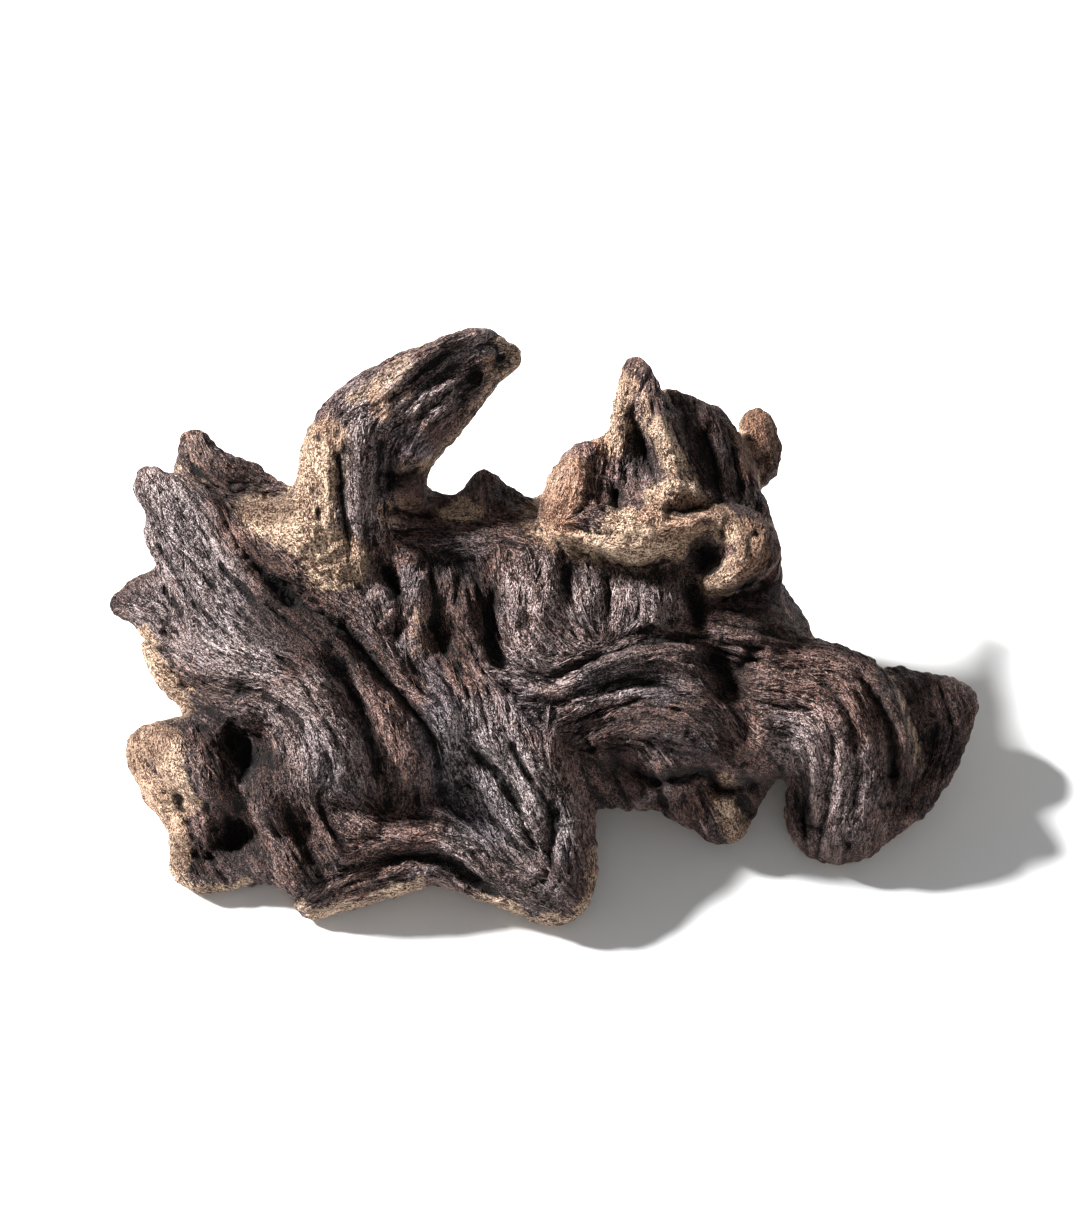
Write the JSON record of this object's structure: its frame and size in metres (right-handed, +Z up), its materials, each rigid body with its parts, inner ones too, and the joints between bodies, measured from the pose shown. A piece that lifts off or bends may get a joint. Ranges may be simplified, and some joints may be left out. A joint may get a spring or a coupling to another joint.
{
  "type": "mopani root",
  "caption": "Gnarled piece of weathered root wood with flowing ridges, horns and hollows, for an aquarium, a terrarium or a shelf.",
  "frame": {"origin": "on the surface that the root lies on, below the middle of its outline", "axes": "+Z up, +X along its length to the right as seen from the front, -Y towards the front, where the seen face leans back from"},
  "size_m": [0.4496, 0.2442, 0.204],
  "materials": {
    "weathered_wood": "dark purple-brown fibrous weathered wood, matt, with sandblasted tan patches on tips and undersides"
  },
  "bodies": {
    "root": {"mopani_root": "weathered_wood"}
  },
  "joints": []
}
